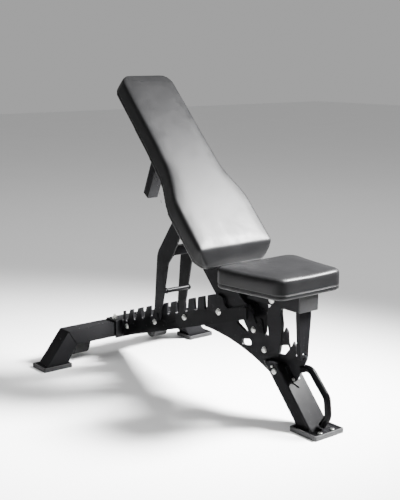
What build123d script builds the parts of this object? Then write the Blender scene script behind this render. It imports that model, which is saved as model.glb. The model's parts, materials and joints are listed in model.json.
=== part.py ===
from build123d import *
from math import cos, sin, tan, radians
import os

os.makedirs("parts", exist_ok=True)

# Adjustable weight bench. Millimetres, +Z up, +X towards the seat end, Y = 0 on the centre plane.
# The origin is on the floor under the middle of the front foot.

# ---- driving dimensions ----
SEAT_TOP = 450.0
PAD_THICK = 61.0
BOARD_THICK = 12.0
TUBE_WIDE = 70.0
WALL = 3.0
PLATE = 5.0
BACK_ANGLE = 46.2
SPINE_ANGLE = 17.4

# spine: two notched plates either side of a box tube, rising towards the seat
SPINE_REAR_X = -922.0
SPINE_FRONT_X = -258.0
SPINE_PLATE_IN = TUBE_WIDE / 2
SPINE_PLATE_OUT = SPINE_PLATE_IN + PLATE
SPINE_DATUM = (-778.0, 115.0)
SPINE_HIGH = 91.0
NOTCH_FIRST_X = -900.0
NOTCH_PITCH = 50.0
NOTCH_COUNT = 10
NARROW_FROM = 5
NOTCH_R = 7.5
NOTCH_FLOOR = 50.0

# backrest hinge and backrest frame
HINGE = (-387.0, 274.0)
HINGE_PIN_R = 8.0
BACK_ORIGIN = (-302.5, 0.0, 343.4)
BACK_LOW = 97.0
BACK_CORNER = 50.0
BACK_TOP = 824.0
BACK_TUBE_WIDE = 60.0
BACK_TUBE_DEEP = 50.0
STRUT_TOP_S = 333.0
STRUT_TOP_D = -29.0
STRUT_PIN_R = 7.0
ARM_IN = 45.5
ARM_OUT = 50.5

# seat, its pivot and the seat strut
SEAT_REAR_X = -280.0
SEAT_FRONT_X = -29.0
SEAT_HALF_REAR = 158.0
SEAT_HALF_FRONT = 121.0
SEAT_PIVOT = (-156.0, 357.0)
SEAT_STRUT_TOP = (-62.0, 351.0)
SEAT_STRUT_PIN = (-61.0, 205.8)
CHANNEL_HALF = 36.0

# front leg and feet
LEG_ANGLE = 47.7
LEG_WIDE = 76.0
LEG_DEEP = 45.0
LEG_TOP_Z = 170.0
FOOT_LIP = 14.0
REAR_BAR_X = -963.0
REAR_BAR_WIDE = 60.0
REAR_BAR_TOP = 121.0
REAR_BAR_LOW = 71.0
REAR_FOOT_Y = 306.0

# transport wheels
WHEEL_X = -1016.0
WHEEL_Z = 39.0
WHEEL_R = 29.0
WHEEL_Y = 170.0
WHEEL_WIDE = 60.0

RUNNING = 0.05


def rail_z(x, above=0.0):
    """Height of the spine's lower edge at x, plus a height above it."""
    return SPINE_DATUM[1] + tan(radians(SPINE_ANGLE)) * (x - SPINE_DATUM[0]) + above


back_n = (sin(radians(BACK_ANGLE)), 0, cos(radians(BACK_ANGLE)))
back_u = (-cos(radians(BACK_ANGLE)), 0, sin(radians(BACK_ANGLE)))
back_plane = Plane(origin=BACK_ORIGIN, x_dir=(0, 1, 0), z_dir=back_n)
back_side = Plane(origin=BACK_ORIGIN, x_dir=back_u, z_dir=(0, 1, 0))


def back_point(s, d):
    """(X, Z) of a point s up the backrest and d out of its rear face."""
    return (
        BACK_ORIGIN[0] + back_u[0] * s + back_n[0] * d,
        BACK_ORIGIN[2] + back_u[2] * s + back_n[2] * d,
    )


STRUT_TOP = back_point(STRUT_TOP_S, STRUT_TOP_D)
STRUT_PIN = (-700.0, rail_z(-700.0, NOTCH_FLOOR + NOTCH_R))


def save(builder, node):
    builder.part.label = node
    export_step(builder.part, f"parts/{node}.step")


def side_outline(points, y_low, y_high, radius=0.0):
    """A flat plate: an XZ outline with rounded corners, from y_low to y_high."""
    with BuildPart() as plate:
        with BuildSketch(Plane.XZ.offset(-y_high)):
            with BuildLine():
                if radius:
                    FilletPolyline(*points, radius=radius, close=True)
                else:
                    Polyline(*points, close=True)
            make_face()
        extrude(amount=y_high - y_low)
    return plate


def cross_rod(centre, radius, y_low, y_high):
    """A round rod across the bench, along Y."""
    with BuildPart() as rod:
        with BuildSketch(Plane.XZ.offset(-y_high)):
            with Locations(centre):
                Circle(radius)
        extrude(amount=y_high - y_low)
    return rod


def cross_bolt(centre, shank_r, half, head_r=8.5, head_high=5.0):
    """A domed head, a shank and a nut, along Y, with the head on the right."""
    with BuildPart() as bolt:
        with BuildSketch(Plane.XZ.offset(-half)):
            with Locations(centre):
                Circle(shank_r)
        extrude(amount=2 * half)
        with BuildSketch(Plane.XZ.offset(half)):
            with Locations(centre):
                Circle(head_r)
        extrude(amount=head_high)
        fillet(bolt.faces().sort_by(Axis.Y)[0].edges(), radius=head_high * 0.75)
        with BuildSketch(Plane.XZ.offset(-half - head_high)):
            with Locations(centre):
                RegularPolygon(head_r * 0.95, 6)
        extrude(amount=head_high)
    return bolt


# ---- front foot ----
def foot_pad(x, y, long_x, wide_y):
    """A rubber tray with a raised lip round a steel foot plate."""
    with BuildPart() as pad:
        with BuildSketch():
            with Locations((x, y)):
                RectangleRounded(long_x, wide_y, 6)
        extrude(amount=FOOT_LIP)
        with BuildSketch(Plane.XY.offset(6)):
            with Locations((x, y)):
                RectangleRounded(long_x - 10, wide_y - 10, 3)
        extrude(amount=FOOT_LIP, mode=Mode.SUBTRACT)
        chamfer(pad.faces().sort_by(Axis.Z)[-1].outer_wire().edges(), length=1.2)
    return pad


def foot_plate(x, y, long_x, wide_y, holes):
    """The steel plate that sits in the tray, with screw holes."""
    with BuildPart() as plate:
        with BuildSketch(Plane.XY.offset(6)):
            with Locations((x, y)):
                RectangleRounded(long_x - 10.4, wide_y - 10.4, 3)
            with Locations(*holes):
                Circle(3.5, mode=Mode.SUBTRACT)
        extrude(amount=5)
    return plate


def foot_screws(holes):
    """Round-headed screws through the foot plate."""
    with BuildPart() as screws:
        with BuildSketch(Plane.XY.offset(6)):
            with Locations(*holes):
                Circle(3.4)
        extrude(amount=5)
        with BuildSketch(Plane.XY.offset(11)):
            with Locations(*holes):
                Circle(7)
        extrude(amount=4.2)
        fillet(screws.faces().group_by(Axis.Z)[-1].edges(), radius=2.6)
    return screws


FRONT_HOLES = [(37, -24), (37, 24)]
front_foot_pad = foot_pad(0, 0, 106, 113)
front_foot_plate = foot_plate(0, 0, 106, 113, FRONT_HOLES)
front_foot_screws = foot_screws(FRONT_HOLES)

# ---- front leg ----
leg_dir = (-cos(radians(LEG_ANGLE)), sin(radians(LEG_ANGLE)))
leg_nor = (sin(radians(LEG_ANGLE)), cos(radians(LEG_ANGLE)))
LEG_MID = -2.7


def leg_point(along, out):
    """(X, Z) of a point along the leg and out of its mid-plane, towards the front."""
    base = LEG_MID + out
    return (leg_nor[0] * base + leg_dir[0] * along, leg_nor[1] * base + leg_dir[1] * along)


def leg_face_x(z, out):
    """X on the leg's face that is `out` from its mid-plane, at height z."""
    return (LEG_MID + out - leg_nor[1] * z) / leg_nor[0]


def leg_outline(inset, z_low, z_high):
    half = LEG_DEEP / 2 - inset
    return [
        (leg_face_x(z_low, -half), z_low),
        (leg_face_x(z_low, half), z_low),
        (leg_face_x(z_high, half), z_high),
        (leg_face_x(z_high, -half), z_high),
    ]


leg_solid = side_outline(leg_outline(0, 11, LEG_TOP_Z), -LEG_WIDE / 2, LEG_WIDE / 2)
with BuildPart() as front_leg:
    add(leg_solid.part)
    fillet(front_leg.edges().filter_by(Axis.Y, reverse=True).filter_by(Axis.X, reverse=True)
           .filter_by(lambda e: abs(e.bounding_box().size.Z) > 100), radius=5)
    with BuildSketch(Plane.XZ.offset(-LEG_WIDE / 2 + WALL)):
        with BuildLine():
            Polyline(*leg_outline(WALL, 8, LEG_TOP_Z - 5), close=True)
        make_face()
    extrude(amount=LEG_WIDE - 2 * WALL, mode=Mode.SUBTRACT)

# ---- central arch plate with the seat horn ----
ARCH_HALF = 5.0
arch_holes = [(-269, 237), (-219, 187)]
with BuildPart() as arch_plate:
    with BuildSketch(Plane.XZ.offset(-ARCH_HALF)):
        with BuildLine():
            lower = ThreePointArc((-504, 195), (-348, 177), (-188, 122))
            Polyline(
                lower @ 1,
                (-150, 90),
                (-158, 189),
                (-149, 221),
                (-146, 262),
                (-146, 286),
                (-151, 310),
                (-151, 322),
                (-137, 345),
                (-138, 362),
            )
            ThreePointArc((-138, 362), (-156, 376), (-174, 362))
            Polyline((-174, 362), (-178, 345), (-206, 314), (-208, 272), (-202, 244))
            ThreePointArc((-202, 244), (-211, 231), (-222, 238))
            Polyline((-222, 238), (-231, 268))
            ThreePointArc((-231, 268), (-242, 278), (-250, 268))
            Polyline(
                (-250, 268),
                (-254, 254),
                (-262, 268),
                (-275, 287),
                (-298, 310),
                (-336, 290),
                (-358, 268),
                (-372, 248),
                (-425, rail_z(-425, 6)),
                (-504, rail_z(-504, 6)),
                (-504, 195),
            )
        make_face()
        # triangular window
        with BuildLine():
            FilletPolyline((-352, 245), (-318, 262), (-282, 213), radius=4, close=True)
        make_face(mode=Mode.SUBTRACT)
        # plain rounded slot
        with Locations(Location((-300, 191), 12)):
            SlotOverall(46, 20, mode=Mode.SUBTRACT)
        with Locations(*arch_holes):
            Circle(5.2, mode=Mode.SUBTRACT)
        with Locations(SEAT_PIVOT):
            Circle(HINGE_PIN_R + RUNNING, mode=Mode.SUBTRACT)
    extrude(amount=2 * ARCH_HALF)
    # a thin stiffening web fills most of the recess behind the horn
    with BuildSketch(Plane.XZ.offset(-2)):
        with BuildLine():
            Polyline(
                (-268, 270),
                (-250, 245),
                (-222, 236),
                (-214, 240),
                (-214, 296),
                (-208, 316),
                (-216, 336),
                (-262, 336),
                (-268, 318),
                close=True,
            )
        make_face()
    extrude(amount=4)
    add(leg_solid.part, mode=Mode.SUBTRACT)

# the plate's tip inside the leg's outline is cut away; only the outside piece stays
arch_keep = arch_plate.part.solids().sort_by(SortBy.VOLUME)[-1]
with BuildPart() as arch_plate:
    add(arch_keep)

with BuildPart() as arch_bolts:
    for centre in arch_holes:
        add(cross_bolt(centre, 5, ARCH_HALF).part)

with BuildPart() as leg_bolts:
    for centre, head in (((-137, 149), 8.5), ((-147, 162), 3.5)):
        with BuildSketch(Plane.XZ.offset(LEG_WIDE / 2)):
            with Locations(centre):
                Circle(head)
        extrude(amount=5)
        with BuildSketch(Plane.XZ.offset(-LEG_WIDE / 2 - 5)):
            with Locations(centre):
                Circle(head)
        extrude(amount=5)
    for face in (leg_bolts.faces().group_by(Axis.Y)[0], leg_bolts.faces().group_by(Axis.Y)[-1]):
        fillet(face.edges(), radius=2.4)

# ---- front ladder for the seat strut ----
LADDER_HALF = 3.0
with BuildPart() as front_ladder:
    with BuildSketch(Plane.XZ.offset(-LADDER_HALF)):
        with BuildLine():
            Polyline(
                (-150, 90),
                (-158, 189),
                (-149, 221),
                (-146, 262),
                (-146, 264),
                (-143, 258),
                (-139, 258),
                (-136, 264),
                (-131, 275),
                (-122, 265),
                (-118, 231),
                (-112, 222),
                (-106, 222),
                (-101, 233),
                (-97, 241),
                (-89, 231),
                (-87, 205),
                (-82, 200),
                (-54, 200),
                (-50, 212),
                (-44, 203),
                (-52, 184),
                (-58, 168),
                (-88, 120),
                (-150, 90),
            )
        make_face()
        with BuildLine():
            FilletPolyline(
                (-153, 217), (-119, 225), (-113, 215), (-133, 193), (-157, 190), radius=3, close=True
            )
        make_face(mode=Mode.SUBTRACT)
    extrude(amount=2 * LADDER_HALF)
    add(leg_solid.part, mode=Mode.SUBTRACT)
    add(arch_plate.part, mode=Mode.SUBTRACT)
ladder_keep = front_ladder.part.solids().sort_by(SortBy.VOLUME)[-1]
with BuildPart() as front_ladder:
    add(ladder_keep)

# a small bracket on the leg's front face, either side of the ladder's foot
leg_front = Plane(
    origin=(leg_point(0, LEG_DEEP / 2)[0], 0, leg_point(0, LEG_DEEP / 2)[1]),
    x_dir=(0, 1, 0),
    z_dir=(leg_nor[0], 0, leg_nor[1]),
)
with BuildPart() as ladder_bracket:
    with BuildSketch(leg_front):
        with BuildLine():
            FilletPolyline(
                (-16, 150), (-16, 200), (16, 200), (16, 150), (0, 128), radius=4, close=True
            )
        make_face()
    extrude(amount=4)
    add(front_ladder.part, mode=Mode.SUBTRACT)
with BuildPart() as bracket_bolts:
    with BuildSketch(leg_front.offset(4)):
        with Locations((-10, 157), (10, 157)):
            Circle(4.5)
    extrude(amount=3.5)
    heads = bracket_bolts.faces().sort_by(Axis((0, 0, 0), leg_front.z_dir))[-2:]
    fillet(heads.edges(), radius=2)

# ---- carry handle: a bent round bar in the centre plane ----
HANDLE_R = 10.5
with BuildPart() as handle_bar:
    with BuildLine(Plane.XZ) as handle_path:
        FilletPolyline(
            (-64, 167),
            (-32, 181),
            (38, 110),
            (44, 56),
            (21, 25),
            radius=30,
        )
    with BuildSketch(Plane(origin=handle_path.line @ 0, z_dir=handle_path.line % 0)):
        Circle(HANDLE_R)
    sweep(path=handle_path.line)
    add(leg_solid.part, mode=Mode.SUBTRACT)
    add(front_ladder.part, mode=Mode.SUBTRACT)
    add(front_foot_plate.part, mode=Mode.SUBTRACT)
handle_keep = handle_bar.part.solids().sort_by(SortBy.VOLUME)[-1]
with BuildPart() as handle_bar:
    add(handle_keep)

# ---- spine plates with the backrest notches ----
def spine_outline():
    return [
        (SPINE_REAR_X, rail_z(SPINE_REAR_X)),
        (SPINE_FRONT_X, rail_z(SPINE_FRONT_X)),
        (SPINE_FRONT_X, 312),
        (-272, 314),
        (-346, 293),
        (-360, 302),
        (-368, 322),
        (-390, 329),
        (-413, rail_z(-413, SPINE_HIGH + 3)),
        (SPINE_REAR_X, rail_z(SPINE_REAR_X, SPINE_HIGH)),
    ]


def spine_plate(outline, y_low, y_high):
    """A notched side plate; each notch has a round floor and a forward-leaning front flank."""
    blank = side_outline(outline, y_low, y_high, radius=4)
    with BuildPart() as plate:
        add(blank.part)
        with BuildSketch(Plane.XZ.offset(-y_high)):
            for number in range(NOTCH_COUNT):
                x = NOTCH_FIRST_X + number * NOTCH_PITCH
                floor = rail_z(x, NOTCH_FLOOR + NOTCH_R)
                top = rail_z(x, SPINE_HIGH + 16)
                lean = 19 if number < NARROW_FROM else 5
                with Locations((x, floor)):
                    Circle(NOTCH_R)
                with BuildLine():
                    Polyline(
                        (x - NOTCH_R, floor),
                        (x + NOTCH_R, floor),
                        (x + NOTCH_R + lean, top + 6),
                        (x - NOTCH_R - 4, top - 3),
                        close=True,
                    )
                make_face()
            with Locations(HINGE):
                Circle(HINGE_PIN_R)
            with Locations(*spine_holes):
                Circle(5.2)
        extrude(amount=y_high - y_low, mode=Mode.SUBTRACT)
    return plate


spine_holes = [(-900, 110), (-732, 164), (-561, 218)]
spine_plate_right = spine_plate(spine_outline(), -SPINE_PLATE_OUT, -SPINE_PLATE_IN)
spine_plate_left = spine_plate(spine_outline(), SPINE_PLATE_IN, SPINE_PLATE_OUT)

# a doubler over the front half of each spine plate
SPLICE_REAR_X = -612.0
splice_outline = [
    (SPLICE_REAR_X, rail_z(SPLICE_REAR_X, 48)),
    (SPLICE_REAR_X + 6, rail_z(SPLICE_REAR_X + 6, 22)),
    (SPLICE_REAR_X + 30, rail_z(SPLICE_REAR_X + 30)),
    *spine_outline()[1:-1],
    (SPLICE_REAR_X + 22, rail_z(SPLICE_REAR_X + 22, SPINE_HIGH)),
]
SPLICE_OUT = SPINE_PLATE_OUT + 4
splice_plate_right = spine_plate(splice_outline, -SPLICE_OUT, -SPINE_PLATE_OUT)
splice_plate_left = spine_plate(splice_outline, SPINE_PLATE_OUT, SPLICE_OUT)

with BuildPart() as spine_bolts:
    for centre, half in zip(spine_holes, (SPINE_PLATE_OUT, SPINE_PLATE_OUT, SPLICE_OUT)):
        add(cross_bolt(centre, 5, half, head_high=5).part)
hinge_bolt = cross_bolt(HINGE, HINGE_PIN_R, SPLICE_OUT, head_r=9.5, head_high=5)

with BuildPart() as spine_tube:
    with BuildSketch(Plane.XZ.offset(-SPINE_PLATE_IN)):
        with BuildLine():
            Polyline(
                (-927, rail_z(-927, 8)),
                (-428, rail_z(-428, 8)),
                (-428, rail_z(-428, 46)),
                (-927, rail_z(-927, 46)),
                close=True,
            )
        make_face()
    extrude(amount=TUBE_WIDE)
    with BuildSketch(Plane.XZ.offset(-SPINE_PLATE_IN + WALL)):
        with BuildLine():
            Polyline(
                (-930, rail_z(-930, 11.2)),
                (-425, rail_z(-425, 11.2)),
                (-425, rail_z(-425, 42.8)),
                (-930, rail_z(-930, 42.8)),
                close=True,
            )
        make_face()
    extrude(amount=TUBE_WIDE - 2 * WALL, mode=Mode.SUBTRACT)
    with BuildSketch(Plane.XZ.offset(-SPINE_PLATE_IN)):
        with Locations(*spine_holes):
            Circle(5.2)
    extrude(amount=TUBE_WIDE, mode=Mode.SUBTRACT)

# ---- rear crossbar with splayed ends ----
BAR_FRONT = REAR_BAR_X + REAR_BAR_WIDE / 2
BAR_REAR = REAR_BAR_X - REAR_BAR_WIDE / 2


def bar_outline(side):
    """One splayed half of the crossbar in YZ, ending at the centre plane."""
    return [
        (0, REAR_BAR_TOP),
        (side * 254, REAR_BAR_TOP),
        (side * 341, 11),
        (side * 262, 11),
        (side * 224, REAR_BAR_LOW),
        (0, REAR_BAR_LOW),
    ]


with BuildPart() as rear_bar:
    with BuildSketch(Plane.YZ.offset(BAR_REAR)):
        for side in (-1, 1):
            with BuildLine():
                Polyline(*bar_outline(side), close=True)
            make_face()
    extrude(amount=REAR_BAR_WIDE)
    with BuildSketch(Plane.YZ.offset(BAR_REAR + WALL)):
        for side in (-1, 1):
            with BuildLine():
                Polyline(
                    (0, REAR_BAR_TOP - WALL),
                    (side * 251, REAR_BAR_TOP - WALL),
                    (side * 335, 14),
                    (side * 267, 14),
                    (side * 228, REAR_BAR_LOW + WALL),
                    (0, REAR_BAR_LOW + WALL),
                    close=True,
                )
            make_face()
    extrude(amount=REAR_BAR_WIDE - 2 * WALL, mode=Mode.SUBTRACT)
    with BuildSketch(Plane.XY.offset(REAR_BAR_LOW - 1)):
        with Locations((REAR_BAR_X + 4, -52), (REAR_BAR_X + 4, 52)):
            Circle(5.2)
    extrude(amount=60, mode=Mode.SUBTRACT)

# saddle: an angle plate that joins the spine's end to the crossbar
with BuildPart() as saddle:
    with BuildSketch(Plane.YZ.offset(BAR_FRONT)):
        with Locations((0, (REAR_BAR_TOP + REAR_BAR_LOW) / 2 + 1)):
            Rectangle(136, REAR_BAR_TOP - REAR_BAR_LOW + 12)
    extrude(amount=6)
    with BuildSketch(Plane.XY.offset(REAR_BAR_TOP)):
        with Locations((REAR_BAR_X + 2, 0)):
            Rectangle(REAR_BAR_WIDE - 4, 136)
        with Locations((REAR_BAR_X + 4, -52), (REAR_BAR_X + 4, 52)):
            Circle(5.2, mode=Mode.SUBTRACT)
    extrude(amount=6)
    fillet(saddle.edges().filter_by(Axis.Y).sort_by(Axis.Z)[-1], radius=2.5)
with BuildPart() as saddle_bolts:
    for y in (-52, 52):
        with BuildSketch(Plane.XY.offset(REAR_BAR_LOW)):
            with Locations((REAR_BAR_X + 4, y)):
                Circle(5)
        extrude(amount=REAR_BAR_TOP + 6 - REAR_BAR_LOW)
        with BuildSketch(Plane.XY.offset(REAR_BAR_TOP + 6)):
            with Locations((REAR_BAR_X + 4, y)):
                RegularPolygon(9.5, 6)
        extrude(amount=8)
        with BuildSketch(Plane.XY.offset(REAR_BAR_TOP + 14)):
            with Locations((REAR_BAR_X + 4, y)):
                Circle(5)
        extrude(amount=9)
        with BuildSketch(Plane.XY.offset(REAR_BAR_LOW - 6)):
            with Locations((REAR_BAR_X + 4, y)):
                RegularPolygon(9, 6)
        extrude(amount=6)
    chamfer(saddle_bolts.faces().group_by(Axis.Z)[-1].edges(), length=1)

REAR_FOOT_X = REAR_BAR_X + 3

rear_foot_pad_right = foot_pad(REAR_FOOT_X, -REAR_FOOT_Y, 86, 108)
rear_foot_pad_left = foot_pad(REAR_FOOT_X, REAR_FOOT_Y, 86, 108)
with BuildPart() as rear_foot_plate_right:
    with BuildSketch(Plane.XY.offset(6)):
        with Locations((REAR_FOOT_X, -REAR_FOOT_Y)):
            RectangleRounded(75.6, 97.6, 3)
    extrude(amount=5)
with BuildPart() as rear_foot_plate_left:
    with BuildSketch(Plane.XY.offset(6)):
        with Locations((REAR_FOOT_X, REAR_FOOT_Y)):
            RectangleRounded(75.6, 97.6, 3)
    extrude(amount=5)


# ---- transport wheels in forks behind the crossbar ----
def wheel_fork(side):
    mid = side * WHEEL_Y
    with BuildPart() as fork:
        for offset in (-36.5, 36.5):
            cheek = side_outline(
                [(BAR_REAR, 60), (BAR_REAR, 100), (-1004, 100), (-1032, 46), (-1024, 26), (-1004, 26)],
                mid + offset - 2.5,
                mid + offset + 2.5,
                radius=3,
            )
            add(cheek.part)
        for end in (-39, 44):
            with BuildSketch(Plane.XZ.offset(-mid - end)):
                with Locations((WHEEL_X, WHEEL_Z)):
                    RegularPolygon(8, 6)
            extrude(amount=5)
        with BuildSketch(Plane.XZ.offset(-mid - 34)):
            with Locations((WHEEL_X, WHEEL_Z)):
                Circle(5)
        extrude(amount=68)
    return fork


wheel_fork_right = wheel_fork(-1)
wheel_fork_left = wheel_fork(1)


def wheel_tyre(side):
    with BuildPart() as tyre:
        with BuildSketch(Plane.XZ.offset(-side * WHEEL_Y - WHEEL_WIDE / 2)):
            with Locations((WHEEL_X, WHEEL_Z)):
                Circle(WHEEL_R)
                Circle(20, mode=Mode.SUBTRACT)
        extrude(amount=WHEEL_WIDE)
        outer = tyre.faces().filter_by(GeomType.CYLINDER).sort_by(SortBy.AREA)[-1]
        fillet(outer.edges().filter_by(GeomType.CIRCLE), radius=4)
    return tyre


def wheel_hub(side):
    with BuildPart() as hub:
        with BuildSketch(Plane.XZ.offset(-side * WHEEL_Y - WHEEL_WIDE / 2 + 2)):
            with Locations((WHEEL_X, WHEEL_Z)):
                Circle(20)
                Circle(5 + RUNNING, mode=Mode.SUBTRACT)
        extrude(amount=WHEEL_WIDE - 4)
        with BuildSketch(Plane.XZ.offset(-side * WHEEL_Y - WHEEL_WIDE / 2 - 3)):
            with Locations((WHEEL_X, WHEEL_Z)):
                Circle(9)
                Circle(5 + RUNNING, mode=Mode.SUBTRACT)
        extrude(amount=WHEEL_WIDE + 6)
    return hub


wheel_tyre_right = wheel_tyre(-1)
wheel_tyre_left = wheel_tyre(1)
wheel_hub_right = wheel_hub(-1)
wheel_hub_left = wheel_hub(1)


# ---- backrest ----
def back_face(low, inset):
    """Backrest outline in its own plane: wide shoulders low down, narrow towards the top."""
    wide = 143 - inset
    waist = 106 - inset
    head = 101 - inset
    top = BACK_TOP - inset
    with BuildSketch() as face:
        with BuildLine():
            Line((0, low), (wide - BACK_CORNER, low))
            RadiusArc((wide - BACK_CORNER, low), (wide, low + BACK_CORNER), -BACK_CORNER)
            Line((wide, low + BACK_CORNER), (wide, 285))
            Spline(
                (wide, 285),
                (wide - 17, 368),
                (waist, 460),
                tangents=[(0, 1), (-0.03, 1)],
            )
            Line((waist, 460), (head, top - 40))
            RadiusArc((head, top - 40), (head - 40, top), -40)
            Line((head - 40, top), (0, top))
            Line((0, top), (0, low))
        make_face()
        mirror(about=Plane.YZ)
    return face


with BuildPart() as back_pad:
    with BuildSketch(back_plane):
        add(back_face(BACK_LOW, 0).sketch)
    extrude(amount=PAD_THICK)
    with BuildSketch(back_side.offset(-200)):
        with BuildLine():
            Polyline(
                (BACK_LOW - 20, 14),
                (BACK_LOW, 14),
                (BACK_LOW + 44, 71),
                (BACK_LOW - 20, 71),
                close=True,
            )
        make_face()
    extrude(amount=400, mode=Mode.SUBTRACT)
    front_face = back_pad.faces().sort_by(Axis((0, 0, 0), back_n))[-1]
    fillet(front_face.edges(), radius=7)
    with BuildSketch(back_plane.offset(-1)):
        add(back_face(BACK_LOW + 16, 6).sketch)
    extrude(amount=BOARD_THICK + 1, mode=Mode.SUBTRACT)

with BuildPart() as back_board:
    with BuildSketch(back_plane):
        add(back_face(BACK_LOW + 16, 6).sketch)
    extrude(amount=BOARD_THICK)

back_half = BACK_TUBE_WIDE / 2
with BuildPart() as back_tube:
    with BuildSketch(back_side.offset(-back_half)):
        with BuildLine():
            Polyline((150, -6), (640, -6), (640, -56), (150, -56), close=True)
        make_face()
    extrude(amount=BACK_TUBE_WIDE)
    with BuildSketch(back_side.offset(-back_half + WALL)):
        with BuildLine():
            Polyline((140, -9), (650, -9), (650, -53), (140, -53), close=True)
        make_face()
    extrude(amount=BACK_TUBE_WIDE - 2 * WALL, mode=Mode.SUBTRACT)
    with BuildSketch(Plane.XZ.offset(-60)):
        with Locations(STRUT_TOP):
            Circle(14)
    extrude(amount=120, mode=Mode.SUBTRACT)

with BuildPart() as back_tube_cap:
    with BuildSketch(back_side.offset(-back_half)):
        with BuildLine():
            Polyline((640, -6), (644, -6), (644, -56), (640, -56), close=True)
        make_face()
    extrude(amount=BACK_TUBE_WIDE)

with BuildPart() as strut_sleeve:
    with BuildSketch(Plane.XZ.offset(-ARM_IN + 0.5)):
        with Locations(STRUT_TOP):
            Circle(14)
            Circle(HINGE_PIN_R, mode=Mode.SUBTRACT)
    extrude(amount=2 * ARM_IN - 1)

strut_top_bolt = cross_bolt(STRUT_TOP, HINGE_PIN_R, ARM_OUT + 0.5, head_r=11, head_high=5)


def hinge_cheek(y_low, y_high):
    """A bracket plate from the backrest tube down to the hinge."""
    with BuildPart() as cheek:
        with BuildSketch(back_side.offset(y_low)):
            with BuildLine():
                Polyline((-14, -104), (30, -124))
                ThreePointArc((30, -124), (19, -132), (5, -133))
                ThreePointArc((5, -133), (-14, -121), (-14, -104))
            make_face()
            with BuildLine():
                Polyline(
                    (-14, -104), (104, -8), (250, -8), (250, -56), (176, -94), (58, -94), (30, -124), close=True
                )
            make_face()
        extrude(amount=y_high - y_low)
        with BuildSketch(Plane.XZ.offset(-y_high)):
            with BuildLine():
                Polyline(
                    (-387, 400),
                    (-366, 412),
                    (-322, 352),
                    (-292, 334),
                    (-268, 318),
                    (-268, 296),
                    (-374, 256),
                    (-400, 270),
                    close=True,
                )
            make_face()
        extrude(amount=y_high - y_low)
        with BuildSketch(Plane.XZ.offset(-80)):
            with Locations(HINGE):
                Circle(14)
        extrude(amount=160, mode=Mode.SUBTRACT)
    return cheek


hinge_cheek_right = hinge_cheek(-back_half - 3.5, -back_half)
hinge_cheek_left = hinge_cheek(back_half, back_half + 3.5)
with BuildPart() as hinge_sleeve:
    with BuildSketch(Plane.XZ.offset(-SPINE_PLATE_IN + 0.6)):
        with Locations(HINGE):
            Circle(14)
            Circle(HINGE_PIN_R + RUNNING, mode=Mode.SUBTRACT)
    extrude(amount=TUBE_WIDE - 1.2)

# cross rails under the board
with BuildPart() as pad_rails:
    for s in (190, 560):
        with BuildSketch(back_plane.offset(-6)):
            with Locations((0, s)):
                Rectangle(150 if s < 300 else 130, 50)
        extrude(amount=6)
with BuildPart() as back_bolts:
    for s, half in ((190, 62), (560, 52)):
        for side in (-1, 1):
            with BuildSketch(back_plane.offset(-11)):
                with Locations((side * half, s)):
                    RegularPolygon(7.5, 6)
            extrude(amount=5)

# leg that carries the backrest when it lies flat
with BuildPart() as rest_leg:
    with BuildSketch(Plane.XZ.offset(-20)):
        with BuildLine():
            Polyline((-816, 591), (-793, 574), (-716, 741), (-742, 763), close=True)
        make_face()
    extrude(amount=40)
    with BuildSketch(Plane.XZ.offset(-17)):
        with BuildLine():
            Polyline((-808, 592), (-796, 583), (-700, 790), (-716, 792), close=True)
        make_face()
    extrude(amount=34, mode=Mode.SUBTRACT)
    add(back_tube.part, mode=Mode.SUBTRACT)
    with BuildSketch(back_side.offset(-60)):
        with BuildLine():
            Polyline((300, -56), (900, -56), (900, 60), (300, 60), close=True)
        make_face()
    extrude(amount=120, mode=Mode.SUBTRACT)


# ---- backrest strut: two bent arms that straddle the spine ----
def strut_arm(y_low, y_high):
    pin_x, pin_z = STRUT_PIN
    top_x, top_z = STRUT_TOP
    with BuildPart() as arm:
        with BuildSketch(Plane.XZ.offset(-y_high)):
            with BuildLine():
                Polyline(
                    (pin_x - 19, pin_z),
                    (-698, 399),
                    (-690, 418),
                    (top_x - 18.7, top_z + 13.4),
                    (top_x, top_z),
                    (top_x + 19.6, top_z - 12),
                    (-585, 460),
                    (-613, 411),
                    (-639, 381),
                    (-652, 324),
                    (pin_x + 19, pin_z),
                    close=True,
                )
            make_face()
            with Locations(STRUT_PIN):
                Circle(19)
            with Locations(STRUT_TOP):
                Circle(23)
            with Locations(STRUT_PIN):
                Circle(STRUT_PIN_R, mode=Mode.SUBTRACT)
            with Locations(STRUT_TOP):
                Circle(HINGE_PIN_R + RUNNING, mode=Mode.SUBTRACT)
            with Locations((-655, 287)):
                Circle(7.5, mode=Mode.SUBTRACT)
        extrude(amount=y_high - y_low)
    return arm


strut_arm_right = strut_arm(-ARM_OUT, -ARM_IN)
strut_arm_left = strut_arm(ARM_IN, ARM_OUT)
strut_pin = cross_rod(STRUT_PIN, STRUT_PIN_R, -ARM_OUT - 3, ARM_OUT + 3)
strut_bar_low = cross_rod((-655, 287), 7.5, -ARM_OUT, ARM_OUT)
strut_bar_high = side_outline(
    [(-642, 411), (-614, 411), (-614, 440), (-642, 440)], -ARM_IN, ARM_IN, radius=3
)

# ---- seat ----
SEAT_Z = SEAT_TOP - PAD_THICK


def seat_face(inset):
    """Seat outline: narrow at the front, wide at the rear."""
    rear = SEAT_REAR_X + inset
    front = SEAT_FRONT_X - inset
    with BuildSketch() as face:
        with BuildLine():
            FilletPolyline(
                (rear, -SEAT_HALF_REAR + inset),
                (front, -SEAT_HALF_FRONT + inset),
                (front, SEAT_HALF_FRONT - inset),
                (rear, SEAT_HALF_REAR - inset),
                radius=34 - inset,
                close=True,
            )
        make_face()
    return face


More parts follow.
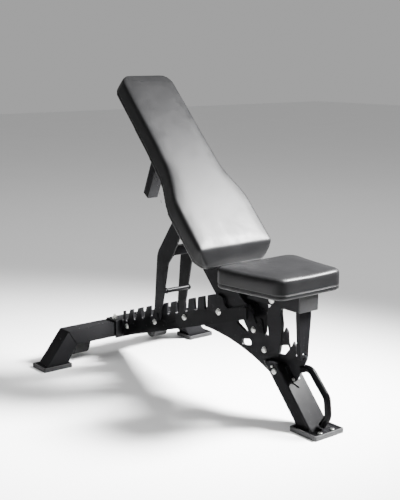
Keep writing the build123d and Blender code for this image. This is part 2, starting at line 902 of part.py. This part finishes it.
with BuildPart() as seat_pad:
    with BuildSketch(Plane.XY.offset(SEAT_Z)):
        add(seat_face(0).sketch)
    extrude(amount=PAD_THICK)
    fillet(seat_pad.faces().sort_by(Axis.Z)[-1].edges(), radius=9)
    with BuildSketch(Plane.XY.offset(SEAT_Z - 1)):
        add(seat_face(6).sketch)
    extrude(amount=BOARD_THICK + 1, mode=Mode.SUBTRACT)
with BuildPart() as seat_board:
    with BuildSketch(Plane.XY.offset(SEAT_Z)):
        add(seat_face(6).sketch)
    extrude(amount=BOARD_THICK)

CHANNEL_LOW = 341.0
CHANNEL_REAR = -262.0
CHANNEL_FRONT = -45.0
with BuildPart() as seat_channel:
    with BuildSketch(Plane.YZ.offset(CHANNEL_REAR)):
        with Locations((0, (CHANNEL_LOW + SEAT_Z) / 2)):
            Rectangle(2 * CHANNEL_HALF, SEAT_Z - CHANNEL_LOW)
        with Locations((0, (CHANNEL_LOW + SEAT_Z) / 2 - 4)):
            Rectangle(2 * CHANNEL_HALF - 8, SEAT_Z - CHANNEL_LOW, mode=Mode.SUBTRACT)
    extrude(amount=CHANNEL_FRONT - CHANNEL_REAR)
    with BuildSketch(Plane.XZ.offset(-CHANNEL_HALF - 1)):
        with Locations(SEAT_PIVOT):
            Circle(HINGE_PIN_R)
    extrude(amount=2 * CHANNEL_HALF + 2, mode=Mode.SUBTRACT)
with BuildPart() as seat_cap:
    with BuildSketch(Plane.YZ.offset(CHANNEL_FRONT)):
        with Locations((0, (CHANNEL_LOW + SEAT_Z) / 2)):
            RectangleRounded(2 * CHANNEL_HALF, SEAT_Z - CHANNEL_LOW, 3)
    extrude(amount=4)
    fillet(seat_cap.faces().sort_by(Axis.X)[-1].edges(), radius=1.2)
with BuildPart() as seat_pivot_bolt:
    add(cross_bolt(SEAT_PIVOT, HINGE_PIN_R, CHANNEL_HALF, head_r=10, head_high=5).part)
    for side in (-1, 1):
        with BuildSketch(Plane.XZ.offset(-side * 18.7 - 13)):
            with Locations(SEAT_PIVOT):
                Circle(13)
        extrude(amount=26)

with BuildPart() as strut_lugs:
    for side in (-1, 1):
        lug = side_outline(
            [(-80, 338), (-48, 338), (-48, SEAT_Z - 4), (-80, SEAT_Z - 4)],
            side * 25.6 - 2,
            side * 25.6 + 2,
            radius=3,
        )
        add(lug.part)
    with BuildSketch(Plane.XZ.offset(-40)):
        with Locations(SEAT_STRUT_TOP):
            Circle(5)
    extrude(amount=80, mode=Mode.SUBTRACT)
seat_strut_bolt = cross_bolt(SEAT_STRUT_TOP, 5, 27.6, head_r=7, head_high=4)

# ---- seat strut: a tapered channel with a pin that drops into the front ladder ----
top_x, top_z = SEAT_STRUT_TOP
pin_x, pin_z = SEAT_STRUT_PIN
STRUT_BACK = -70.0
STRUT_FRONT = -55.0
with BuildPart() as seat_strut:
    with BuildSketch(Plane.YZ.offset(STRUT_BACK)):
        with BuildLine():
            Polyline(
                (-23, top_z + 10), (-23, 322), (-14, 196), (14, 196), (23, 322), (23, top_z + 10), close=True
            )
        make_face()
    extrude(amount=STRUT_FRONT - STRUT_BACK)
    with BuildSketch(Plane.YZ.offset(STRUT_BACK - 1)):
        with BuildLine():
            Polyline((-20, 380), (-20, 322), (-10.5, 190), (10.5, 190), (20, 322), (20, 380), close=True)
        make_face()
    extrude(amount=STRUT_FRONT - STRUT_BACK - 2.5, mode=Mode.SUBTRACT)
    with BuildSketch(Plane.XY.offset(180)):
        with Locations((STRUT_FRONT, 0)):
            Rectangle(40, 12)
    extrude(amount=36, mode=Mode.SUBTRACT)
    with BuildSketch(Plane.XZ.offset(-40)):
        with Locations(SEAT_STRUT_TOP):
            Circle(5 + RUNNING)
        with Locations(SEAT_STRUT_PIN):
            Circle(5)
    extrude(amount=80, mode=Mode.SUBTRACT)
seat_strut_pin = cross_rod(SEAT_STRUT_PIN, 5, -17, 17)

with BuildPart() as seat_bolts:
    for x in (-205, -110):
        for y in (-18, 18):
            with BuildSketch(Plane.XY.offset(SEAT_Z - 9)):
                with Locations((x, y)):
                    RegularPolygon(6.5, 6)
            extrude(amount=5)

nodes = {
    "front_foot_pad": front_foot_pad,
    "front_foot_plate": front_foot_plate,
    "front_foot_screws": front_foot_screws,
    "front_leg": front_leg,
    "arch_plate": arch_plate,
    "arch_bolts": arch_bolts,
    "leg_bolts": leg_bolts,
    "front_ladder": front_ladder,
    "ladder_bracket": ladder_bracket,
    "bracket_bolts": bracket_bolts,
    "handle_bar": handle_bar,
    "spine_plate_right": spine_plate_right,
    "spine_plate_left": spine_plate_left,
    "splice_plate_right": splice_plate_right,
    "splice_plate_left": splice_plate_left,
    "spine_tube": spine_tube,
    "spine_bolts": spine_bolts,
    "hinge_bolt": hinge_bolt,
    "rear_bar": rear_bar,
    "saddle": saddle,
    "saddle_bolts": saddle_bolts,
    "rear_foot_pad_right": rear_foot_pad_right,
    "rear_foot_pad_left": rear_foot_pad_left,
    "rear_foot_plate_right": rear_foot_plate_right,
    "rear_foot_plate_left": rear_foot_plate_left,
    "wheel_fork_right": wheel_fork_right,
    "wheel_fork_left": wheel_fork_left,
    "wheel_tyre_right": wheel_tyre_right,
    "wheel_tyre_left": wheel_tyre_left,
    "wheel_hub_right": wheel_hub_right,
    "wheel_hub_left": wheel_hub_left,
    "back_pad": back_pad,
    "back_board": back_board,
    "back_tube": back_tube,
    "back_tube_cap": back_tube_cap,
    "strut_sleeve": strut_sleeve,
    "strut_top_bolt": strut_top_bolt,
    "hinge_cheek_right": hinge_cheek_right,
    "hinge_cheek_left": hinge_cheek_left,
    "hinge_sleeve": hinge_sleeve,
    "pad_rails": pad_rails,
    "back_bolts": back_bolts,
    "rest_leg": rest_leg,
    "strut_arm_right": strut_arm_right,
    "strut_arm_left": strut_arm_left,
    "strut_pin": strut_pin,
    "strut_bar_low": strut_bar_low,
    "strut_bar_high": strut_bar_high,
    "seat_pad": seat_pad,
    "seat_board": seat_board,
    "seat_channel": seat_channel,
    "seat_cap": seat_cap,
    "seat_pivot_bolt": seat_pivot_bolt,
    "strut_lugs": strut_lugs,
    "seat_strut_bolt": seat_strut_bolt,
    "seat_bolts": seat_bolts,
    "seat_strut": seat_strut,
    "seat_strut_pin": seat_strut_pin,
}
for node, builder in nodes.items():
    save(builder, node)
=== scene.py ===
import json
import math
import bmesh
import bpy
import numpy as np
from mathutils import Matrix, Vector


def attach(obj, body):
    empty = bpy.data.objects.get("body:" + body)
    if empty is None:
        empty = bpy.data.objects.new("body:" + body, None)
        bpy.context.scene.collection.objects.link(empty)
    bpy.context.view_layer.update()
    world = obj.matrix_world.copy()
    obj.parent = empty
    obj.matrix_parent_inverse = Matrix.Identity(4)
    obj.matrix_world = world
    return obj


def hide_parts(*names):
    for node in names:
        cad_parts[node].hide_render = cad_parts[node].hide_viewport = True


scene = bpy.context.scene

# ---- camera: the photograph's angle ----
camera = bpy.data.objects.new("camera", bpy.data.cameras.new("camera"))
scene.collection.objects.link(camera)
camera.data.lens = 68.4
camera.data.sensor_width = 36
camera.location = (1.789, -1.815, 1.042)
camera.rotation_euler = Vector((-0.772, 0.603, -0.201)).to_track_quat("-Z", "Y").to_euler()
camera.data.clip_end = 50
scene.camera = camera

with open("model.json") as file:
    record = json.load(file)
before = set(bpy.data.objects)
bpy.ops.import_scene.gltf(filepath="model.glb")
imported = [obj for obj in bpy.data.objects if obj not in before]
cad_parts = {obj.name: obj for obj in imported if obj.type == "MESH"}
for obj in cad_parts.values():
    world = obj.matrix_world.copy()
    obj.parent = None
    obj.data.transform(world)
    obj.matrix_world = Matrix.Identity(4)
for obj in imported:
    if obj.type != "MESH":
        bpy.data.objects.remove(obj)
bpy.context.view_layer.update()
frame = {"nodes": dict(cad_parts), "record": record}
nodes = frame["nodes"]

BACK_ANGLE = math.radians(46.2)
BACK_O = Vector((-0.3025, 0, 0.3434))
BACK_U = Vector((-math.cos(BACK_ANGLE), 0, math.sin(BACK_ANGLE)))
BACK_N = Vector((math.sin(BACK_ANGLE), 0, math.cos(BACK_ANGLE)))
SEAT_O = Vector((-0.16, 0, 0.389))
UP = Vector((0, 0, 1))


# ---- materials ----
class Shader:
    """A small helper that builds one procedural material."""

    def __init__(self, name):
        self.material = bpy.data.materials.new(name)
        self.material.use_nodes = True
        self.tree = self.material.node_tree
        self.bsdf = self.tree.nodes["Principled BSDF"]
        self.coords = self.tree.nodes.new("ShaderNodeTexCoord")
        self.normal = None

    def set(self, **values):
        for key, value in values.items():
            self.bsdf.inputs[key.replace("_", " ")].default_value = value

    def noise(self, scale, detail=4.0, rough=0.55, stretch=None):
        node = self.tree.nodes.new("ShaderNodeTexNoise")
        node.inputs["Scale"].default_value = scale
        node.inputs["Detail"].default_value = detail
        node.inputs["Roughness"].default_value = rough
        self.feed(node, stretch)
        return node.outputs["Fac"]

    def cells(self, scale, feature="F1"):
        node = self.tree.nodes.new("ShaderNodeTexVoronoi")
        node.feature = feature
        node.inputs["Scale"].default_value = scale
        self.feed(node, None)
        return node.outputs["Distance"]

    def feed(self, node, stretch):
        source = self.coords.outputs["Object"]
        if stretch:
            mapping = self.tree.nodes.new("ShaderNodeMapping")
            mapping.inputs["Scale"].default_value = stretch
            self.tree.links.new(source, mapping.inputs["Vector"])
            source = mapping.outputs["Vector"]
        self.tree.links.new(source, node.inputs["Vector"])

    def spread(self, value, low, high, out_low, out_high):
        node = self.tree.nodes.new("ShaderNodeMapRange")
        for key, number in zip(("From Min", "From Max", "To Min", "To Max"), (low, high, out_low, out_high)):
            node.inputs[key].default_value = number
        self.tree.links.new(value, node.inputs["Value"])
        return node.outputs["Result"]

    def mix(self, value, first, second):
        node = self.tree.nodes.new("ShaderNodeMix")
        node.data_type = "RGBA"
        self.tree.links.new(value, node.inputs["Factor"])
        for key, colour in (("A", first), ("B", second)):
            socket = [s for s in node.inputs if s.name == key and s.type == "RGBA"][0]
            if isinstance(colour, tuple):
                socket.default_value = (*colour, 1)
            else:
                self.tree.links.new(colour, socket)
        return [s for s in node.outputs if s.type == "RGBA"][0]

    def link(self, value, key):
        self.tree.links.new(value, self.bsdf.inputs[key])

    def bump(self, value, strength, distance):
        node = self.tree.nodes.new("ShaderNodeBump")
        node.inputs["Strength"].default_value = strength
        node.inputs["Distance"].default_value = distance
        self.tree.links.new(value, node.inputs["Height"])
        if self.normal:
            self.tree.links.new(self.normal, node.inputs["Normal"])
        self.normal = node.outputs["Normal"]
        self.tree.links.new(self.normal, self.bsdf.inputs["Normal"])

    def worn_edges(self, base, worn, low=0.53, high=0.62):
        geometry = self.tree.nodes.new("ShaderNodeNewGeometry")
        edge = self.spread(geometry.outputs["Pointiness"], low, high, 0.0, 1.0)
        return self.mix(edge, base, worn)


def powder_coat():
    s = Shader("powder_coat")
    s.set(Metallic=0.0, Specular_IOR_Level=0.03)
    tone = s.mix(s.noise(7, 5), (0.0012, 0.0012, 0.0014), (0.002, 0.002, 0.0022))
    s.link(s.worn_edges(tone, (0.012, 0.012, 0.013), 0.56, 0.7), "Base Color")
    s.link(s.spread(s.noise(60, 4), 0.3, 0.7, 0.22, 0.28), "Roughness")
    s.bump(s.noise(620, 2), 0.18, 0.00025)
    s.bump(s.cells(1500), 0.08, 0.0001)
    return s.material


def vinyl():
    s = Shader("vinyl")
    s.set(Specular_IOR_Level=0.15)
    tone = s.mix(s.noise(18, 8), (0.003, 0.003, 0.0033), (0.006, 0.006, 0.0064))
    s.link(tone, "Base Color")
    s.link(s.spread(s.noise(24, 9, 0.65), 0.3, 0.7, 0.33, 0.46), "Roughness")
    s.bump(s.cells(520, "SMOOTH_F1"), 0.35, 0.0004)
    s.bump(s.noise(900, 3), 0.25, 0.0003)
    s.bump(s.noise(26, 3), 0.12, 0.0012)
    return s.material


def thread():
    s = Shader("thread")
    s.link(s.mix(s.noise(900, 3), (0.02, 0.02, 0.021), (0.05, 0.05, 0.052)), "Base Color")
    s.set(Roughness=0.7)
    s.bump(s.noise(1600, 2, 0.5, (1, 1, 4)), 0.5, 0.0003)
    return s.material


def zinc():
    s = Shader("zinc")
    s.set(Metallic=1.0)
    tone = s.mix(s.noise(60, 6), (0.3, 0.3, 0.29), (0.52, 0.52, 0.5))
    s.link(s.worn_edges(tone, (0.66, 0.66, 0.64)), "Base Color")
    s.link(s.spread(s.noise(220, 5, 0.6, (1, 4, 1)), 0.3, 0.7, 0.2, 0.36), "Roughness")
    s.bump(s.noise(1300, 3), 0.12, 0.0001)
    return s.material


def rubber():
    s = Shader("rubber")
    s.set(Specular_IOR_Level=0.25)
    tone = s.mix(s.noise(45, 7), (0.005, 0.005, 0.0052), (0.011, 0.011, 0.0115))
    s.link(s.worn_edges(tone, (0.03, 0.03, 0.031)), "Base Color")
    s.link(s.spread(s.noise(90, 4), 0.3, 0.7, 0.55, 0.75), "Roughness")
    s.bump(s.noise(1100, 3), 0.4, 0.0003)
    return s.material


def plastic():
    s = Shader("plastic")
    s.set(Specular_IOR_Level=0.3)
    tone = s.mix(s.noise(30, 5), (0.007, 0.007, 0.0074), (0.012, 0.012, 0.0125))
    s.link(tone, "Base Color")
    s.link(s.spread(s.noise(140, 4), 0.3, 0.7, 0.4, 0.55), "Roughness")
    s.bump(s.cells(1100), 0.3, 0.0002)
    return s.material


def dust_cloth():
    s = Shader("dust_cloth")
    weave = s.noise(700, 2, 0.4, (6, 1, 1))
    cross = s.noise(700, 2, 0.4, (1, 6, 1))
    s.link(s.mix(weave, (0.01, 0.01, 0.0105), (0.028, 0.028, 0.029)), "Base Color")
    s.set(Roughness=0.88)
    s.bump(weave, 0.4, 0.0004)
    s.bump(cross, 0.4, 0.0004)
    return s.material


materials = {
    "frame_paint": powder_coat(),
    "zinc_hardware": zinc(),
    "pad_vinyl": vinyl(),
    "pad_board": dust_cloth(),
    "foot_rubber": rubber(),
    "black_plastic": plastic(),
    "thread": thread(),
}


def dress(obj, slot, body=None, material=None):
    obj.data.materials.clear()
    obj.data.materials.append(materials[material or slot])
    if body:
        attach(obj, body)


def smooth(obj, angle=32):
    bpy.context.view_layer.objects.active = obj
    obj.select_set(True)
    bpy.ops.object.shade_smooth_by_angle(angle=math.radians(angle))
    obj.select_set(False)


def new_object(name, mesh):
    obj = bpy.data.objects.new(name, mesh)
    scene.collection.objects.link(obj)
    return obj


def apply_modifiers(obj):
    graph = bpy.context.evaluated_depsgraph_get()
    mesh = bpy.data.meshes.new_from_object(obj.evaluated_get(graph))
    obj.modifiers.clear()
    obj.data = mesh


# ---- CAD pieces: rounded edges and their finish ----
slot_of = {row["node"]: row["material_slot"] for row in frame["record"]["subparts"]}
BEVELS = {"frame_paint": 0.0007, "foot_rubber": 0.0008, "black_plastic": 0.0006, "zinc_hardware": 0.0004}
for name, obj in nodes.items():
    dress(obj, slot_of[name])
    width = BEVELS.get(slot_of[name], 0)
    if width:
        bevel = obj.modifiers.new("edge", "BEVEL")
        bevel.width = width
        bevel.segments = 2
        bevel.limit_method = "ANGLE"
        bevel.angle_limit = math.radians(38)
        bevel.harden_normals = False
    smooth(obj)


# ---- tubes, seams and stitches ----
def tube(name, points, radius, closed=False, sides=8, ripple=0.0, pitch=0.004):
    """A tube along a list of points. ripple gives a weld bead's ridges."""
    points = [Vector(p) for p in points]
    count = len(points)
    verts, faces = [], []
    along = 0.0
    side_axis = None
    for i, point in enumerate(points):
        ahead = points[(i + 1) % count] if closed or i + 1 < count else point
        behind = points[i - 1] if closed or i else point
        direction = (ahead - behind).normalized()
        if side_axis is None:
            side_axis = direction.orthogonal().normalized()
        side_axis = (side_axis - direction * side_axis.dot(direction)).normalized()
        other = direction.cross(side_axis)
        along += (point - behind).length if i else 0
        size = radius * (1 + ripple * math.sin(along / pitch * 2 * math.pi))
        for k in range(sides):
            a = 2 * math.pi * k / sides
            verts.append(point + side_axis * math.cos(a) * size + other * math.sin(a) * size)
    rings = count if closed else count - 1
    for i in range(rings):
        for k in range(sides):
            a, b = i * sides + k, i * sides + (k + 1) % sides
            c, d = ((i + 1) % count) * sides + (k + 1) % sides, ((i + 1) % count) * sides + k
            faces.append((a, b, c, d))
    if not closed:
        faces.append(tuple(range(sides))[::-1])
        faces.append(tuple(range((count - 1) * sides, count * sides)))
    mesh = bpy.data.meshes.new(name)
    mesh.from_pydata([tuple(v) for v in verts], [], faces)
    mesh.update()
    for polygon in mesh.polygons:
        polygon.use_smooth = True
    return new_object(name, mesh)


def resample(points, step, closed=False):
    points = [Vector(p) for p in points] + ([Vector(points[0])] if closed else [])
    total = sum((b - a).length for a, b in zip(points, points[1:]))
    count = max(2, round(total / step))
    found, travelled, target, i = [points[0]], 0.0, total / count, 0
    while len(found) < count and i + 1 < len(points):
        length = (points[i + 1] - points[i]).length
        if travelled + length >= target * len(found) and length > 0:
            t = (target * len(found) - travelled) / length
            found.append(points[i].lerp(points[i + 1], t))
        else:
            travelled += length
            i += 1
    if not closed:
        found.append(points[-1])
    return found


def section(obj, origin, normal):
    """The longest closed loop where a plane cuts the mesh, as ordered points."""
    bm = bmesh.new()
    bm.from_mesh(obj.data)
    cut = bmesh.ops.bisect_plane(
        bm, geom=bm.verts[:] + bm.edges[:] + bm.faces[:], plane_co=origin, plane_no=normal,
        clear_inner=True, clear_outer=True,
    )
    edges = [e for e in cut["geom_cut"] if isinstance(e, bmesh.types.BMEdge)]
    links = {}
    for e in edges:
        a, b = e.verts
        links.setdefault(a, []).append(b)
        links.setdefault(b, []).append(a)
    best, left = [], set(links)
    while left:
        start = next(iter(left))
        loop, here, last = [], start, None
        while here is not None and here in left:
            left.discard(here)
            loop.append(here.co.copy())
            ahead = [v for v in links[here] if v is not last and v in left]
            last, here = here, (ahead[0] if ahead else None)
        if len(loop) > 2:
            length = sum((a - b).length for a, b in zip(loop, loop[1:]))
            if not best or length > best[0]:
                best = [length, loop]
    bm.free()
    return best[1]


def relaxed(loop, rounds=4):
    for _ in range(rounds):
        count = len(loop)
        loop = [(loop[i - 1] + loop[i] * 2 + loop[(i + 1) % count]) / 4 for i in range(count)]
    return loop


def stitches(name, loop, step, length, radius, lift):
    """A row of short thread stitches that lie on a seam."""
    centre = sum(loop, Vector()) / len(loop)
    verts, faces = [], []
    spots = resample(loop, step, closed=True)
    for i, spot in enumerate(spots):
        direction = (spots[(i + 1) % len(spots)] - spots[i - 1]).normalized()
        outward = spot - centre
        outward = (outward - direction * outward.dot(direction)).normalized()
        other = direction.cross(outward)
        base = spot + outward * lift
        first = len(verts)
        for t, size in ((-0.5, 0.35), (-0.35, 1), (0.35, 1), (0.5, 0.35)):
            for k in range(6):
                a = math.pi * k / 3
                verts.append(base + direction * length * t
                             + (outward * math.cos(a) + other * math.sin(a)) * radius * size)
        for ring in range(3):
            for k in range(6):
                a, b = first + ring * 6 + k, first + ring * 6 + (k + 1) % 6
                faces.append((a, b, b + 6, a + 6))
        faces.append(tuple(first + k for k in range(6))[::-1])
        faces.append(tuple(first + 18 + k for k in range(6)))
    mesh = bpy.data.meshes.new(name)
    mesh.from_pydata([tuple(v) for v in verts], [], faces)
    mesh.update()
    for polygon in mesh.polygons:
        polygon.use_smooth = True
    return new_object(name, mesh)


# ---- pads ----
def swell(name, node, origin, normal, cap):
    """The pad's cover: the CAD pad, filled by cloth pressure and held at its board."""
    obj = new_object(name, nodes[node].data.copy())
    remesh = obj.modifiers.new("remesh", "REMESH")
    remesh.mode = "VOXEL"
    remesh.voxel_size = 0.005
    apply_modifiers(obj)
    relax = obj.modifiers.new("relax", "SMOOTH")
    relax.factor = 0.5
    relax.iterations = 6
    apply_modifiers(obj)
    rest = np.array([v.co for v in obj.data.vertices])
    depth = (rest - np.array(origin)) @ np.array(normal)
    held = obj.vertex_groups.new(name="held")
    for index, d in enumerate(depth):
        weight = min(1.0, max(0.0, (0.024 - d) / 0.008))
        if weight > 0:
            held.add([index], float(weight), "REPLACE")
    cloth = obj.modifiers.new("cloth", "CLOTH")
    cloth.settings.use_pressure = True
    cloth.settings.uniform_pressure_force = 3
    cloth.settings.effector_weights.gravity = 0
    cloth.settings.vertex_group_mass = "held"
    cloth.settings.quality = 4
    cloth.settings.tension_stiffness = 60
    cloth.settings.compression_stiffness = 60
    cloth.settings.shear_stiffness = 40
    cloth.settings.bending_stiffness = 30
    for number in range(1, 21):
        scene.frame_set(number)
    graph = bpy.context.evaluated_depsgraph_get()
    moved = np.array([v.co for v in obj.evaluated_get(graph).data.vertices])
    obj.modifiers.clear()
    scene.frame_set(1)
    shift = moved - rest
    length = np.maximum(np.linalg.norm(shift, axis=1), 1e-9)
    shift *= (cap * np.tanh(length / cap) / length)[:, None]
    shift = even(obj.data, shift, 14)
    obj.data.vertices.foreach_set("co", (rest + shift).astype(np.float32).ravel())
    obj.data.update()
    relax = obj.modifiers.new("relax", "SMOOTH")
    relax.factor = 0.5
    relax.iterations = 3
    subdivide = obj.modifiers.new("subdivide", "SUBSURF")
    subdivide.levels = 1
    subdivide.render_levels = 1
    apply_modifiers(obj)
    for polygon in obj.data.polygons:
        polygon.use_smooth = True
    return obj


def even(mesh, shift, rounds):
    """Evens out how far neighbouring points have moved, so that the cover stays taut."""
    pairs = np.array([e.vertices[:] for e in mesh.edges])
    count = np.bincount(pairs.ravel(), minlength=len(shift)).astype(float)[:, None]
    for _ in range(rounds):
        total = np.zeros_like(shift)
        np.add.at(total, pairs[:, 0], shift[pairs[:, 1]])
        np.add.at(total, pairs[:, 1], shift[pairs[:, 0]])
        shift = 0.4 * shift + 0.6 * total / np.maximum(count, 1)
    return shift


def groove(obj, origin, normal, depth_at, width, sink):
    """Presses a sewn line into the cover's side at one depth."""
    mesh = obj.data
    co = np.array([v.co for v in mesh.vertices])
    no = np.array([v.normal for v in mesh.vertices])
    depth = (co - np.array(origin)) @ np.array(normal)
    across = np.abs(no @ np.array(normal))
    pull = np.exp(-(((depth - depth_at) / width) ** 2)) * np.clip(1.2 - across * 1.3, 0, 1)
    co -= no * (pull * sink)[:, None]
    mesh.vertices.foreach_set("co", co.astype(np.float32).ravel())
    mesh.update()


pads = (
    ("back_cover", "back_pad", "backrest", BACK_O, BACK_N, 0.0035),
    ("seat_cover", "seat_pad", "seat", SEAT_O, UP, 0.0035),
)
for name, node, body, origin, normal, cap in pads:
    cover = swell(name, node, origin, normal, cap)
    groove(cover, origin, normal, 0.0125, 0.0016, 0.0018)
    dress(cover, "pad_vinyl", body)
    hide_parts(node)
    loop = section(cover, origin + normal * 0.0125, normal)
    loop = relaxed(resample(loop, 0.004, closed=True), 3)
    dress(tube(f"{name}_welt", loop, 0.0011, closed=True), "pad_vinyl", body)
    loop = section(cover, origin + normal * 0.0157, normal)
    loop = relaxed(resample(loop, 0.004, closed=True), 3)
    dress(stitches(f"{name}_stitch", loop, 0.0062, 0.0042, 0.00042, 0.0001), "pad_vinyl", body, "thread")


# ---- weld beads ----
def bead(name, points, body, radius=0.0024):
    path = resample(points, 0.0012)
    obj = tube(name, path, radius, sides=8, ripple=0.16, pitch=0.0034)
    dress(obj, "frame_paint", body)


def surface_x(z, out):
    angle = math.radians(47.7)
    return (-0.0027 + out - math.cos(angle) * z) / math.sin(angle)


LEG_HALF = 0.0225
for side, label in ((-1, "right"), (1, "left")):
    y = side * 0.038
    low, high = 0.0112, 0.0112
    bead(f"weld_leg_side_{label}",
         [(surface_x(low, -LEG_HALF) + 0.004, y, low), (surface_x(low, LEG_HALF) - 0.004, y, low)], "frame")
    bead(f"weld_saddle_{label}", [(-0.926, side * 0.0405, 0.078), (-0.926, side * 0.0405, 0.122)], "frame")
    bead(f"weld_arm_low_{label}",
         [(-0.655 + 0.0078 * math.cos(a), side * 0.045, 0.287 + 0.0078 * math.sin(a))
          for a in np.linspace(0, 2 * math.pi, 40)], "back_strut", 0.0018)
    bead(f"weld_arm_high_{label}",
         [(-0.642, side * 0.045, 0.411), (-0.614, side * 0.045, 0.411), (-0.614, side * 0.045, 0.440),
          (-0.642, side * 0.045, 0.440), (-0.642, side * 0.045, 0.411)], "back_strut", 0.0018)
    bead(f"weld_arch_{label}",
         [(surface_x(0.165, -LEG_HALF), side * 0.0055, 0.165), (surface_x(0.112, -LEG_HALF), side * 0.0055, 0.112)],
         "frame")
    foot_edge = [(-0.992, side * 0.262, 0.0112), (-0.934, side * 0.262, 0.0112)]
    bead(f"weld_rear_foot_in_{label}", foot_edge, "frame")
    bead(f"weld_rear_foot_out_{label}",
         [(x, side * 0.341, z) for x, _, z in foot_edge], "frame")
    bead(f"weld_rear_bend_{label}",
         [(-0.933, side * 0.2545, 0.121), (-0.933, side * 0.2245, 0.0715)], "frame", 0.0012)
bead("weld_leg_front", [(surface_x(0.0112, LEG_HALF), -0.037, 0.0112), (surface_x(0.0112, LEG_HALF), 0.037, 0.0112)],
     "frame")
bead("weld_leg_rear", [(surface_x(0.0112, -LEG_HALF), -0.037, 0.0112), (surface_x(0.0112, -LEG_HALF), 0.037, 0.0112)],
     "frame")


# ---- washers under the bolt heads ----
def washer(name, x, z, y, side, radius, body):
    mesh = bpy.data.meshes.new(name)
    bm = bmesh.new()
    bmesh.ops.create_cone(bm, cap_ends=True, segments=40, radius1=radius, radius2=radius * 0.96, depth=0.0012)
    bm.transform(Matrix.Translation((x, y + side * 0.0006, z)) @ Matrix.Rotation(-side * math.pi / 2, 4, "X"))
    bm.to_mesh(mesh)
    bm.free()
    obj = new_object(name, mesh)
    dress(obj, "zinc_hardware", body)
    smooth(obj, 40)


bolts = (
    ("spine_a", -0.900, 0.110, 0.040, 0.0098, "frame"),
    ("spine_b", -0.732, 0.164, 0.040, 0.0098, "frame"),
    ("spine_c", -0.561, 0.218, 0.044, 0.0098, "frame"),
    ("hinge", -0.387, 0.274, 0.044, 0.0108, "frame"),
    ("arch_a", -0.269, 0.237, 0.005, 0.0098, "frame"),
    ("arch_b", -0.219, 0.187, 0.005, 0.0098, "frame"),
    ("seat_pivot", -0.156, 0.357, 0.036, 0.0108, "seat"),
)
for label, x, z, y, radius, body in bolts:
    for side, word in ((-1, "right"), (1, "left")):
        washer(f"washer_{label}_{word}", x, z, side * y, side, radius, body)


# ---- staples round the boards' dust cloth ----
def staples(name, node, origin, normal, body):
    loop = section(nodes[node], origin + normal * 0.006, normal)
    centre = sum(loop, Vector()) / len(loop)
    verts, faces = [], []
    spots = resample(loop, 0.032, closed=True)
    for i, spot in enumerate(spots):
        direction = (spots[(i + 1) % len(spots)] - spots[i - 1]).normalized()
        inward = (centre - spot) - normal * (centre - spot).dot(normal)
        inward = (inward - direction * inward.dot(direction)).normalized()
        base = spot - normal * 0.0062 + inward * 0.014
        first = len(verts)
        for dx in (-1, 1):
            for dy in (-1, 1):
                for dz in (0, 1):
                    verts.append(base + direction * 0.0052 * dx + inward * 0.0005 * dy - normal * 0.0006 * dz)
        for quad in ((0, 1, 3, 2), (4, 6, 7, 5), (0, 4, 5, 1), (2, 3, 7, 6), (0, 2, 6, 4), (1, 5, 7, 3)):
            faces.append(tuple(first + q for q in quad))
    mesh = bpy.data.meshes.new(name)
    mesh.from_pydata([tuple(v) for v in verts], [], faces)
    mesh.update()
    dress(new_object(name, mesh), "zinc_hardware", body)


staples("back_staples", "back_board", BACK_O, BACK_N, "backrest")
staples("seat_staples", "seat_board", SEAT_O, UP, "seat")


# ---- floor and light ----
def staged_floor():
    mesh = bpy.data.meshes.new("floor")
    bm = bmesh.new()
    bmesh.ops.create_grid(bm, x_segments=1, y_segments=1, size=14)
    bm.to_mesh(mesh)
    bm.free()
    floor = new_object("floor", mesh)
    s = Shader("floor")
    s.link(s.mix(s.noise(2, 3), (0.86, 0.86, 0.86), (0.89, 0.89, 0.89)), "Base Color")
    s.set(Roughness=0.9, Specular_IOR_Level=0.1)
    floor.data.materials.append(s.material)


staged_floor()


def softbox(name, place, target, size, power, spread=180):
    light = bpy.data.objects.new(name, bpy.data.lights.new(name, "AREA"))
    light.data.shape = "RECTANGLE"
    light.data.size, light.data.size_y = size
    light.data.energy = power
    light.data.spread = math.radians(spread)
    light.location = place
    light.rotation_euler = (Vector(target) - Vector(place)).to_track_quat("-Z", "Y").to_euler()
    scene.collection.objects.link(light)


softbox("back_softbox", (0.5, 1.3, 1.95), (-0.3, 0, 0.5), (0.75, 0.75), 140, 60)
softbox("near_softbox", (1.5, -2.2, 1.7), (-0.2, 0, 0.35), (0.5, 1.0), 10)
softbox("floor_light", (-0.9, 0.4, 4.4), (-0.9, 0.4, 0), (4.5, 4.5), 110)
world = bpy.data.worlds.new("world")
world.use_nodes = True
world.node_tree.nodes["Background"].inputs["Color"].default_value = (1, 1, 1, 1)
world.node_tree.nodes["Background"].inputs["Strength"].default_value = 0.42
scene.world = world
